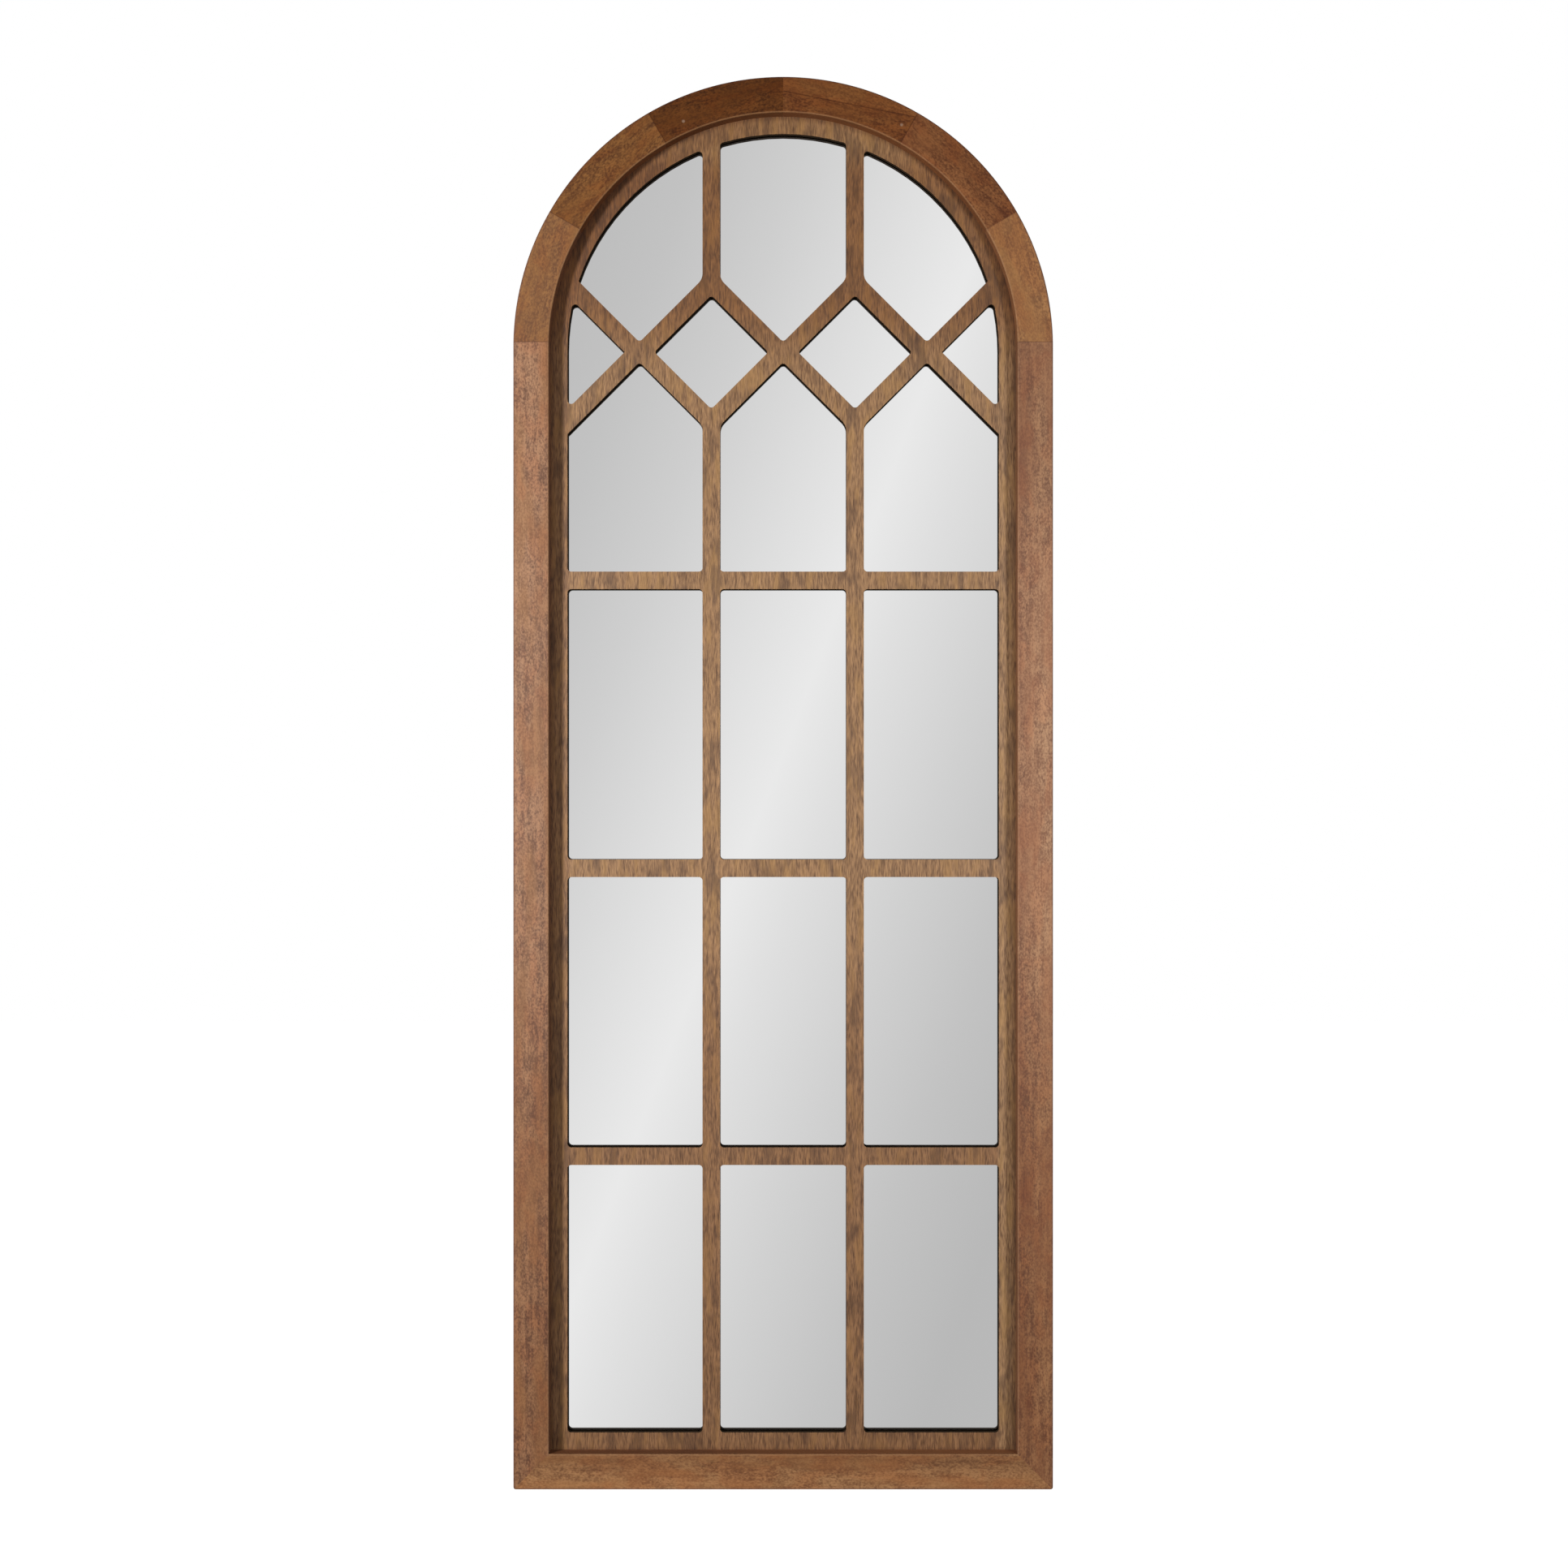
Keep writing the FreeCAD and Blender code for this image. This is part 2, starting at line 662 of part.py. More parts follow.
def make_screw():
    """A pan-head wood screw with a cross recess; its head sits on the plane y = 0."""
    body = add_body("screw")
    head = "(sizes.screw_head_diameter / 2)"
    shank = "(sizes.screw_diameter / 2)"
    tall = "sizes.screw_head_height"
    section = add_sketch(body, "section", "XY_Plane")
    corners = [
        ("0", "-sizes.screw_length"),
        (shank, f"-sizes.screw_length + {shank}"),
        (shank, "0"),
        (head, "0"),
        (head, f"{tall} / 2"),
        ("sizes.screw_crown_diameter / 2", tall),
        ("0", tall),
    ]
    draw_polygon(section, corners)
    add_revolution(body, "turned", section, 360)
    recess = add_sketch(body, "recess_outline", "XZ_Plane", f"-{tall}")
    arm = "(sizes.recess_length / 2)"
    edge = "(sizes.recess_width / 2)"
    quarter = [(arm, f"-{edge}"), (arm, edge), (edge, edge)]
    cross = []
    for number in range(4):
        cross += quarter
        quarter = [(f"-({z})", x) for x, z in quarter]
    draw_polygon(recess, cross)
    add_pocket(body, "recess", recess, "sizes.recess_depth")
    return body


def make_hanger_screws(name):
    """Two screws through each hanger strap."""
    screws = []
    for side in (-1, 1):
        for number in (0, 1):
            screw = make_screw()
            up = f"-sizes.screw_drop - {number} * sizes.screw_spacing"
            place(screw, f"{side} * {STRIP_MIDDLE}", f"{BACK_Y} + sizes.strap_thickness", up)
            screws.append(screw)
    return group(name, screws)


def cut_to_fit(wood, name, fasteners):
    """The finished wooden piece, with the fasteners' holes and slots in it."""
    finished = doc.addObject("Part::Cut", name)
    finished.Base = wood
    finished.Tool = fasteners
    return finished


# Hangers and bumpers on the back.


def make_strap(name, side):
    """A pressed strap whose top curls round the straight side of the ring."""
    body = add_body(name)
    thick = "sizes.strap_thickness"
    raised = f"(sizes.strap_rise + {thick})"
    profile = add_sketch(body, "strap_profile", "YZ_Plane")
    corners = [
        ("0", "-sizes.strap_length"),
        (thick, "-sizes.strap_length"),
        (thick, f"-2 * {BARREL_RADIUS}"),
        (raised, f"-{BARREL_RADIUS}"),
        (raised, "0"),
        ("sizes.strap_rise", "0"),
        ("sizes.strap_rise", f"-{BARREL_RADIUS}"),
        ("0", f"-2 * {BARREL_RADIUS}"),
    ]
    draw_polygon(profile, corners)
    add_pad(body, "strap", profile, "sizes.strap_width", midplane=True)
    curl = add_sketch(body, "curl_outline", "YZ_Plane")
    draw_circle(curl, HINGE_RISE, "0", BARREL_RADIUS)
    add_pad(body, "curl", curl, "sizes.strap_width", midplane=True)
    bore = add_sketch(body, "bore_outline", "YZ_Plane")
    draw_circle(bore, HINGE_RISE, "0", BORE_RADIUS)
    add_pocket(body, "bore", bore, "sizes.strap_width", midplane=True)
    holes = add_sketch(body, "screw_holes", "XZ_Plane")
    for number in (0, 1):
        drop = f"-sizes.screw_drop - {number} * sizes.screw_spacing"
        draw_circle(holes, "0", drop, "sizes.screw_hole_diameter / 2")
    add_pocket(body, "holes", holes, reversed_cut=False)
    ends = [
        point(f"{edge} * sizes.strap_width / 2", f"{thick} / 2", "-sizes.strap_length")
        for edge in (-1, 1)
    ]
    add_fillet(body, "rounded_end", ends, "sizes.strap_end_radius")
    place(body, f"{side} * {STRIP_MIDDLE}", BACK_Y)
    return body


def make_ring(name, side):
    """A D-shaped wire ring, hanging from its straight side."""
    body = add_body(name)
    half = "((sizes.ring_width - sizes.ring_wire) / 2)"
    bend = "sizes.ring_corner_radius"
    bow_z = f"(-sizes.ring_reach + {half})"
    corners = [
        ("0", "0", "xy"),
        (f"-{half} + {bend}", "0", "x"),
        (f"-{half}", f"-{bend}", "y"),
        (f"-{half}", bow_z, "y"),
        (half, bow_z, "y"),
        (half, f"-{bend}", "y"),
        (f"{half} - {bend}", "0", "x"),
    ]
    arcs = {
        1: (f"-{half} + {bend}", f"-{bend}", bend),
        3: ("0", bow_z, half),
        5: (f"{half} - {bend}", f"-{bend}", bend),
    }
    path = add_sketch(body, "wire_path", "XZ_Plane")
    draw_loop(path, corners, arcs)
    section = add_sketch(body, "wire_section", "YZ_Plane")
    draw_circle(section, "0", "0", "sizes.ring_wire / 2")
    wire = body.newObject("PartDesign::AdditivePipe", "wire")
    wire.Profile = section
    wire.Spine = (path, [])
    doc.recompute()
    place(body, f"{side} * {STRIP_MIDDLE}", f"{BACK_Y} + {HINGE_RISE}")
    return body


def make_bumper(name, side):
    """A round rubber bumper near the foot of a stile."""
    body = add_body(name)
    section = add_sketch(body, "section", "XY_Plane")
    radius = "(sizes.bumper_diameter / 2)"
    tip = f"({radius} - sizes.bumper_taper)"
    tall = "sizes.bumper_height"
    draw_polygon(section, [("0", "0"), (radius, "0"), (tip, tall), ("0", tall)])
    add_revolution(body, "moulded", section, 360)
    add_fillet(body, "eased_rim", [point(tip, tall, "0")], "sizes.bumper_ease")
    up = f"{ARCH_Z} + {FOOT} + sizes.bumper_rise"
    place(body, f"{side} * {STRIP_MIDDLE}", BACK_Y, up)
    return body


pieces = {
    "joint_dowels": make_dowels("joint_dowels"),
    "corner_nails": make_corner_nails("corner_nails"),
    "backing_points": make_backing_points("backing_points"),
    "hanger_screws": make_hanger_screws("hanger_screws"),
}
all_fasteners = group("all_fasteners", list(pieces.values()))

blanks = {"bottom_rail": make_rail("bottom_rail_blank")}
for hand, side in (("left", -1), ("right", 1)):
    blanks[f"stile_{hand}"] = make_stile(f"stile_{hand}_blank", side)
    for number, level in enumerate(("lower", "middle", "upper")):
        label = f"arch_segment_{hand}_{level}"
        blanks[label] = make_arch_segment(f"{label}_blank", side, number * SEGMENT_ANGLE)
    pieces[f"hanger_strap_{hand}"] = make_strap(f"hanger_strap_{hand}", side)
    pieces[f"hanger_ring_{hand}"] = make_ring(f"hanger_ring_{hand}", side)
    pieces[f"bumper_{hand}"] = make_bumper(f"bumper_{hand}", side)
for label, blank in blanks.items():
    pieces[label] = cut_to_fit(blank, label, all_fasteners)

pieces["pane_lattice"] = make_lattice("pane_lattice")
for label, thickness, back in (
    ("mirror_glass", "sizes.mirror_thickness", MIRROR_BACK),
    ("backing_board", "sizes.backing_thickness", BACKING_BACK),
):
    pieces[label] = make_panel(label, thickness, "sizes.glass_clearance", back)

doc.recompute()

for item in doc.Objects:
    if "Invalid" in item.State or "Error" in item.State:
        raise RuntimeError(f"{item.Label} is {item.State}")
for label, piece in pieces.items():
    piece.Label = label
    if piece.Shape.isNull() or not piece.Shape.isValid():
        raise RuntimeError(f"{label} has no valid shape")

os.makedirs("parts", exist_ok=True)
for label, piece in pieces.items():
    piece.Shape.exportStep(f"parts/{label}.step")
    box = piece.Shape.BoundBox
    print(f"{label}: {len(piece.Shape.Solids)} solids, {piece.Shape.Volume:.0f} mm3,",
          f"x {box.XMin:.1f}..{box.XMax:.1f}, y {box.YMin:.1f}..{box.YMax:.1f},",
          f"z {box.ZMin:.1f}..{box.ZMax:.1f}")
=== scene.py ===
from math import cos, pi, radians, sin

import bpy
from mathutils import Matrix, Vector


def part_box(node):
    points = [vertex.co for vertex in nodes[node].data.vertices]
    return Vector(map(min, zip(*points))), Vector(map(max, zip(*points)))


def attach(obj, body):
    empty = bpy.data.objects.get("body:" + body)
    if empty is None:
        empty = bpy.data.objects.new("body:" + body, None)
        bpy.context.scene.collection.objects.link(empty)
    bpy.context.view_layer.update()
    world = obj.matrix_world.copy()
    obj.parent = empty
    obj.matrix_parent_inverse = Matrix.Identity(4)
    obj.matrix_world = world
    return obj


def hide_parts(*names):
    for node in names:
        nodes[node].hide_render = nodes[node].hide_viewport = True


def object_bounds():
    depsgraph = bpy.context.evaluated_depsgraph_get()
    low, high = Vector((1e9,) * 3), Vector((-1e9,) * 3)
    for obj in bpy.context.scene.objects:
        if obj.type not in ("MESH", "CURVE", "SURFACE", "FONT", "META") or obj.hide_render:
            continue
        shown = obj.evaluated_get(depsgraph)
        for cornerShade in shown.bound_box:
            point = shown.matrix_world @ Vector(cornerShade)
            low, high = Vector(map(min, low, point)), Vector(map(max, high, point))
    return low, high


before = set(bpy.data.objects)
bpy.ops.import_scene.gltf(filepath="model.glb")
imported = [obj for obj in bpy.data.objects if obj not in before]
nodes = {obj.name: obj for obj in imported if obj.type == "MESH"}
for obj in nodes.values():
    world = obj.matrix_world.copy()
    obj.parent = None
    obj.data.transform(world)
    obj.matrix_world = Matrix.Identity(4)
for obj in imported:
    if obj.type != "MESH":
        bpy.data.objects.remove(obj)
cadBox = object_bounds()
print("frame loaded:", len(nodes), "nodes")

# the frame's own measures, in metres; its face is equally wide at the sides, the head and the foot
faceWidth = 0.030
lowCorner, highCorner = cadBox
frameFront, outerEdge = lowCorner.y, highCorner.x
innerEdge = outerEdge - faceWidth
archCentre = highCorner.z - outerEdge          # the height of the centre of the half-round head
footLip = lowCorner.z + faceWidth
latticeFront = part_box("pane_lattice")[0].y
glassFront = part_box("mirror_glass")[0].y


# ---- small tools for the finishes

def ink(red, green, blue):                     # a screen colour, 0 to 255, as the light it stands for
    def light(part):
        part = part / 255
        return part / 12.92 if part <= 0.04045 else ((part + 0.055) / 1.055) ** 2.4
    return light(red), light(green), light(blue), 1.0


def opaque(colour):                            # a tint has three parts, and a node's colour four
    return colour + (1.0,) if isinstance(colour, tuple) and len(colour) == 3 else colour


def around(place, span):                       # a range that is written from a place on the frame
    return [place + part for part in span]


class Wire:                                    # one output of a node, with sums written as Python
    def __init__(self, paint, socket):
        self.paint, self.socket = paint, socket

    def sum(self, operation, *terms):
        return self.paint.node("ShaderNodeMath", {"operation": operation}, dict(enumerate(terms)))

    def __add__(self, other):
        return self.sum("ADD", self, other)

    def __sub__(self, other):
        return self.sum("SUBTRACT", self, other)

    def __rsub__(self, other):
        return self.sum("SUBTRACT", other, self)

    def __mul__(self, other):
        return self.sum("MULTIPLY", self, other)

    def __truediv__(self, other):
        return self.sum("DIVIDE", self, other)

    def __pow__(self, other):
        return self.sum("POWER", self, other)

    def __abs__(self):
        return self.sum("ABSOLUTE", self)

    __radd__ = __add__
    __rmul__ = __mul__

    def most(self, other):
        return self.sum("MAXIMUM", self, other)

    def sine(self):
        return self.sum("SINE", self)


class Paint:                                   # the node tree of a finish or of the world
    def __init__(self, owner):
        owner.use_nodes = True
        self.owner, self.tree = owner, owner.node_tree
        self.tree.nodes.clear()

    def node(self, kind, settings=None, sockets=None, output=0):
        made = self.tree.nodes.new(kind)
        for name, value in (settings or {}).items():
            if name == "stops":
                for spot in range(len(value) - 2):
                    made.color_ramp.elements.new(0.5)
                for stop, (place, colour) in zip(made.color_ramp.elements, value):
                    stop.position, stop.color = place, colour
            else:
                setattr(made, name, value)
        for name, value in (sockets or {}).items():
            if isinstance(value, Wire):
                self.tree.links.new(value.socket, made.inputs[name])
            else:
                made.inputs[name].default_value = value
        return Wire(self, made.outputs[output]) if made.outputs else made

    def mix(self, share, first, second, blend="MIX"):
        return self.node("ShaderNodeMix", {"data_type": "RGBA", "blend_type": blend},
                         {0: share, 6: opaque(first), 7: opaque(second)}, 2)

    def stain(self, share, colour, tint):      # multiplies a colour by a tint
        return self.mix(share, colour, tint, "MULTIPLY")

    def blend(self, share, first, second):     # the same as mix, for plain numbers
        return self.node("ShaderNodeMix", {"data_type": "FLOAT"}, {0: share, 2: first, 3: second})

    def ramp(self, value, low, high, start=0.0, end=1.0):
        return self.node("ShaderNodeMapRange", {"interpolation_type": "SMOOTHSTEP"},
                         {"Value": value, "From Min": low, "From Max": high, "To Min": start, "To Max": end})

    def stretch(self, place, *scale):
        return self.node("ShaderNodeVectorMath", {"operation": "MULTIPLY"}, {0: place, 1: scale})

    def noise(self, place, scale, detail=3.0, rough=0.55, warp=0.0):
        return self.node("ShaderNodeTexNoise", None, {"Vector": self.stretch(place, *scale), "Scale": 1.0,
                         "Detail": detail, "Roughness": rough, "Distortion": warp})

    def place(self):                           # where a spot lies on the object
        return self.node("ShaderNodeTexCoord", None, None, "Object")

    def axes(self, place):
        return [self.node("ShaderNodeSeparateXYZ", None, {0: place}, part) for part in range(3)]

    def ray(self, kind):
        return self.node("ShaderNodeLightPath", None, None, kind)

    def bump(self, height, strength, distance):
        return self.node("ShaderNodeBump", None, {"Height": height, "Strength": strength, "Distance": distance})

    def shader(self, sockets):
        return self.node("ShaderNodeBsdfPrincipled", None, sockets)

    def surface(self, shader):
        self.node("ShaderNodeOutputMaterial", None, {"Surface": shader})


def finishFor(name):
    return Paint(bpy.data.materials.new(name))


def coat(node, paint):
    for spot in nodes[node].material_slots:
        spot.material = paint.owner


def reachOf(across, up):                       # how far a spot lies from the middle line or the head's centre
    over = (up - archCentre).most(0.0)
    return (across * across + over * over) ** 0.5


# ---- frame boards

# A noise is how often it changes in a metre across, through and along the grain, then its detail, its
# roughness and its warp. A range is where a tone begins and where it is full. Depths count from the front.
boardFinish = {
    "mottle": ((780, 780, 480), 1.6, 0.55), "blotch": ((150, 150, 70), 3, 0.55),
    "streaks": ((300, 300, 14), 3, 0.6, 0.3), "tone": ((50, 50, 9), 2),
    "mottleShare": 0.45, "blotchShare": 0.28, "streakShare": 0.27, "litRange": (0.36, 0.64),
    "warmRange": (0.42, 0.62), "warmShare": 0.5,
    "rosy": ((75, 75, 34), 2, 0.5, 0.4), "rosyRange": (0.44, 0.62), "rosyShare": 0.8, "rosyTint": (0.97, 0.85, 0.78),
    "pores": ((1000, 1000, 240), 2, 0.5), "poreRange": (0.58, 0.68), "poreShare": 0.35,
    "poreTint": (0.50, 0.42, 0.36),
    "veins": ((80, 80, 1.6), 1), "veinWidth": 0.010, "veinRange": (0.50, 0.60), "veinShare": 0.35,
    "knots": (62, 62, 26), "knotRagged": 0.12, "knotEdge": (0.22, 0.05), "knotRange": (0.50, 0.62),
    "knotShare": 0.7, "knotTint": (0.58, 0.42, 0.34),
    # painted shade darkens the foot of a long board over its low range; the high range tints its top end
    "tintRange": (0.1, 0.8), "lowRange": (-0.38, -0.60), "highRange": (-0.14, 0.0),
    "lineEdge": (0.0002, 0.0007), "lineTint": (0.42, 0.32, 0.26), "seamShare": 0.6, "springRise": 0.004,
    "fillerEdge": (0.0006, 0.0018), "fillerShare": 0.5, "fillerColour": ink(178, 152, 130),
    "outerRange": (0.945, 0.985), "outerDepth": (0.0016, 0.0008), "outerShare": 0.6,
    "outerColour": ink(104, 56, 36),
    # the inner edge is tinted pale as a painted highlight
    "edgeHighlightRange": (0.045, 0.012), "edgeHighlightShare": 0.45, "edgeHighlightColour": ink(166, 122, 82),
    # the wall of the recess takes painted shade, deeper on the left than on the right
    "wallRange": (0.013, 0.003), "wallDepth": (0.0008, 0.0022), "wallSpan": (-0.12, 0.12),
    "wallShadeLeft": (0.50, 0.34, 0.20), "wallShadeRight": (0.70, 0.54, 0.38),
    "relief": 0.25, "reliefDepth": 0.0002, "dull": 0.53, "shiny": 0.43, "edgeDull": 0.3,
}

# turn is the way the grain runs, in degrees from upright; shift takes each board from another place in the
# wood; pale, deep and warm are its three tones; inside and outside tint its two edges, low darkens the foot of
# a long board as painted shade and high tints its top end; index is how much it shines, and seams the angles with a
# dark joint
boards = {
    "stile_left": {
        "turn": 0, "shift": (0.0, 0.0, 0.0), "index": 1.65, "seams": (180,),
        "pale": ink(190, 140, 102), "deep": ink(114, 72, 45), "warm": ink(168, 114, 64),
        "inside": (0.86, 0.84, 0.83), "outside": (0.94, 0.95, 0.97),
        "low": (0.88, 0.82, 0.74), "high": (1.07, 1.08, 1.08)},
    "stile_right": {
        "turn": 0, "shift": (0.7, 0.2, 0.4), "index": 1.65, "seams": (0,),
        "pale": ink(182, 136, 102), "deep": ink(120, 77, 51), "warm": ink(156, 104, 70),
        "inside": (1.02, 0.95, 0.84), "outside": (1.20, 1.23, 1.14),
        "low": (0.76, 0.66, 0.55), "high": (0.82, 0.77, 0.72)},
    "bottom_rail": {
        "turn": 90, "shift": (1.3, 0.5, 0.9), "index": 1.5, "seams": (),
        "pale": ink(172, 124, 82), "deep": ink(118, 76, 45), "warm": ink(160, 108, 64),
        "inside": (0.92, 0.90, 0.86), "outside": (1.22, 1.24, 1.22)},
    "arch_segment_right_lower": {
        "turn": 15, "shift": (1.9, 0.1, 0.3), "index": 1.6, "seams": (0, 30),
        "pale": ink(186, 134, 86), "deep": ink(130, 84, 48), "warm": ink(166, 114, 66),
        "inside": (0.95, 0.92, 0.80), "outside": (0.95, 0.92, 0.80)},
    "arch_segment_right_middle": {
        "turn": 45, "shift": (2.3, 0.6, 0.8), "index": 1.4, "seams": (60,),
        "pale": ink(150, 96, 58), "deep": ink(94, 50, 24), "warm": ink(132, 78, 42),
        "inside": (1.08, 1.12, 1.08), "outside": (0.97, 0.98, 0.90)},
    "arch_segment_right_upper": {
        "turn": 75, "shift": (2.9, 0.3, 0.5), "index": 1.35, "seams": (60,),
        "pale": ink(154, 102, 58), "deep": ink(96, 54, 24), "warm": ink(136, 84, 42),
        "inside": (0.82, 0.72, 0.62), "outside": (0.82, 0.76, 0.68)},
    "arch_segment_left_upper": {
        "turn": 105, "shift": (3.4, 0.8, 0.1), "index": 1.3, "seams": (120,),
        "pale": ink(124, 75, 38), "deep": ink(72, 37, 13), "warm": ink(106, 61, 26),
        "inside": (0.94, 0.90, 0.78), "outside": (0.84, 0.80, 0.66)},
    "arch_segment_left_middle": {
        "turn": 135, "shift": (4.1, 0.4, 0.7), "index": 1.4, "seams": (120, 150),
        "pale": ink(170, 116, 64), "deep": ink(106, 62, 28), "warm": ink(146, 94, 46),
        "inside": (0.78, 0.75, 0.70), "outside": (0.78, 0.75, 0.70)},
    "arch_segment_left_lower": {
        "turn": 165, "shift": (4.8, 0.9, 0.2), "index": 1.6, "seams": (150, 180),
        "pale": ink(182, 130, 80), "deep": ink(124, 78, 42), "warm": ink(162, 110, 58),
        "inside": (0.80, 0.75, 0.66), "outside": (0.80, 0.75, 0.66)},
}
# one board is glued up from two strips: a spot that the line passes through, its fall to the right, how
# dark the line is, and the tint of the strip above it from how high over the line
glueLine = {"board": "arch_segment_right_upper", "across": 0.0034, "up": 0.3040, "fall": 0.197,
            "share": 0.7, "tint": (1.14, 1.18, 1.20), "edge": (0.0, 0.0006)}
# two small holes have been filled, at these places across and up
fillers = {"arch_segment_left_upper": (-0.0845, 0.2790), "arch_segment_right_upper": (0.1003, 0.2760)}
springAngles = (0, 180)                        # the joints of the head with the two straight sides


def boardWood(name, board):
    look = boardFinish
    wood = finishFor(name + " wood")
    place = wood.place()
    along = wood.node("ShaderNodeMapping", None, {"Vector": place, "Location": board["shift"],
                                                  "Rotation": (0.0, radians(board["turn"]), 0.0)})
    across, deep, up = wood.axes(place)
    # how far a spot lies from the inner edge of the face, 0, towards its outer edge, 1
    spread = (footLip - up if name == "bottom_rail" else reachOf(across, up) - innerEdge) / faceWidth

    # the wood, from fine mottle to slow changes of tone, with short dark pores and a few long dark veins
    mottle = wood.noise(along, *look["mottle"])
    blotch = wood.noise(along, *look["blotch"])
    streaks = wood.noise(along, *look["streaks"])
    tone = wood.noise(along, *look["tone"])
    lit = mottle * look["mottleShare"] + blotch * look["blotchShare"] + streaks * look["streakShare"]
    lit = wood.ramp(lit, *look["litRange"])
    colour = wood.mix(lit, board["deep"], board["pale"])
    colour = wood.mix(wood.ramp(tone, *look["warmRange"]) * look["warmShare"], colour, board["warm"])
    rosy = wood.ramp(wood.noise(along, *look["rosy"]), *look["rosyRange"])
    colour = wood.stain(rosy * look["rosyShare"], colour, look["rosyTint"])
    pores = wood.ramp(wood.noise(along, *look["pores"]), *look["poreRange"])
    colour = wood.stain(pores * look["poreShare"], colour, look["poreTint"])
    veins = wood.ramp(abs(wood.noise(along, *look["veins"]) - 0.5), 0.0, look["veinWidth"], look["veinShare"], 0.0)
    veins = veins * wood.ramp(tone, *look["veinRange"])
    knots = wood.node("ShaderNodeTexVoronoi", None, {"Vector": wood.stretch(along, *look["knots"]), "Scale": 1.0})
    knots = wood.ramp(knots + mottle * look["knotRagged"], *look["knotEdge"])
    knots = knots * wood.ramp(blotch, *look["knotRange"])
    colour = wood.stain(veins + knots * look["knotShare"], colour, look["knotTint"])

    # the board's place in the frame: tinted towards its edges and its top end, painted shade at its foot, and dark at
    # a joint
    edges = wood.mix(wood.ramp(spread, *look["tintRange"]), board["inside"], board["outside"])
    colour = wood.stain(1.0, colour, edges)
    # painted shade at the foot of a long board, and a tint at its top end
    for end in ("low", "high"):
        if end in board:
            colour = wood.stain(wood.ramp(up, *look[end + "Range"]), colour, board[end])
    if name == glueLine["board"]:
        above = up - glueLine["up"] + (across - glueLine["across"]) * glueLine["fall"]
        line = wood.ramp(abs(above), *look["lineEdge"], glueLine["share"], 0.0)
        colour = wood.stain(wood.ramp(above, *glueLine["edge"]), colour, glueLine["tint"])
        colour = wood.stain(line, colour, look["lineTint"])
    for angle in board["seams"]:
        rise = archCentre + (look["springRise"] if angle in springAngles else 0.0)
        gap = abs(across * sin(radians(angle)) - (up - rise) * cos(radians(angle)))
        line = wood.ramp(gap, *look["lineEdge"], look["seamShare"], 0.0)
        colour = wood.stain(line, colour, look["lineTint"])
    if name in fillers:
        gap = ((across - fillers[name][0]) ** 2.0 + (up - fillers[name][1]) ** 2.0) ** 0.5
        filled = wood.ramp(gap, *look["fillerEdge"], look["fillerShare"], 0.0)
        colour = wood.mix(filled, colour, look["fillerColour"])

    # a dark outer edge at the front, a painted highlight along the inner edge, and painted shade on the wall of the
    # recess, deeper on the left
    outer = wood.ramp(spread, *look["outerRange"]) * wood.ramp(deep, *around(frameFront, look["outerDepth"]))
    edgeHighlight = wood.ramp(spread, *look["edgeHighlightRange"])
    wall = wood.ramp(deep, *around(frameFront, look["wallDepth"])) * wood.ramp(spread, *look["wallRange"])
    shade = wood.mix(wood.ramp(across, *look["wallSpan"]), look["wallShadeLeft"], look["wallShadeRight"])
    colour = wood.mix(outer * look["outerShare"], colour, look["outerColour"])
    colour = wood.mix(edgeHighlight * look["edgeHighlightShare"], colour, look["edgeHighlightColour"])
    # painted shade on the wall of the recess
    colour = wood.stain(wall, colour, shade)

    dull = wood.ramp(lit, 0.0, 1.0, look["dull"], look["shiny"]) + (outer + edgeHighlight) * look["edgeDull"]
    wood.surface(wood.shader({"Base Color": colour, "Roughness": dull, "IOR": board["index"],
                              "Normal": wood.bump(mottle, look["relief"], look["reliefDepth"])}))
    return wood


for name, board in boards.items():
    coat(name, boardWood(name, board))
print("frame boards finished")


# ---- lattice over the mirror

# ranges on the frame count from the lattice's windows, the frame's lip, the foot's lip or the lattice's front
latticeFinish = {
    "grain": ((430, 430, 34), 3, 0.6, 0.4), "fine": ((1250, 1250, 150), 1.6, 0.55),
    "grainShare": 0.40, "fineShare": 0.60, "litRange": (0.28, 0.70),
    "pale": ink(186, 142, 99), "deep": ink(99, 66, 39),
    "glow": ((130, 130, 24), 2), "glowRange": (0.48, 0.66), "glowShare": 0.45, "golden": ink(180, 135, 80),
    "patch": ((105, 105, 30), 2, 0.5, 0.5), "patchRange": (0.50, 0.68), "patchShare": 0.5, "plum": ink(94, 67, 49),
    # painted shade towards the top of the head, at the crown and low down
    "headShadeRange": (0.06, 0.13), "headShadeTint": (0.71, 0.58, 0.46),
    "crownRange": (0.235, 0.265), "crownShadeTint": (0.90, 0.86, 0.78),
    "lowRange": (-0.38, -0.52), "lowShadeTint": (0.84, 0.77, 0.74),
    # the border takes painted shade at the left and painted light at the right
    "border": 0.0146, "borderRange": (-0.003, 0.001), "borderSpan": (-0.10, 0.10),
    "leftShadeTint": (0.86, 0.80, 0.76), "rightLightTint": (1.06, 1.10, 1.14),
    # the corner under the frame's lip and along the foot takes painted shade
    "lipRange": (-0.0055, 0.0005), "footShadeRange": (0.0035, -0.0005), "footShadeShare": 0.6, "cornerShadeTint": (0.62, 0.54, 0.48),
    "relief": 0.25, "reliefDepth": 0.0002, "sheenRange": (0.4, 0.6), "dull": 0.54, "shiny": 0.45, "index": 1.6,
    "faceDepth": (0.00012, 0.00003), "cutDark": ink(46, 36, 26), "cutPale": ink(66, 52, 38), "cutDull": 0.9,
    "cutIndex": 1.2,
}


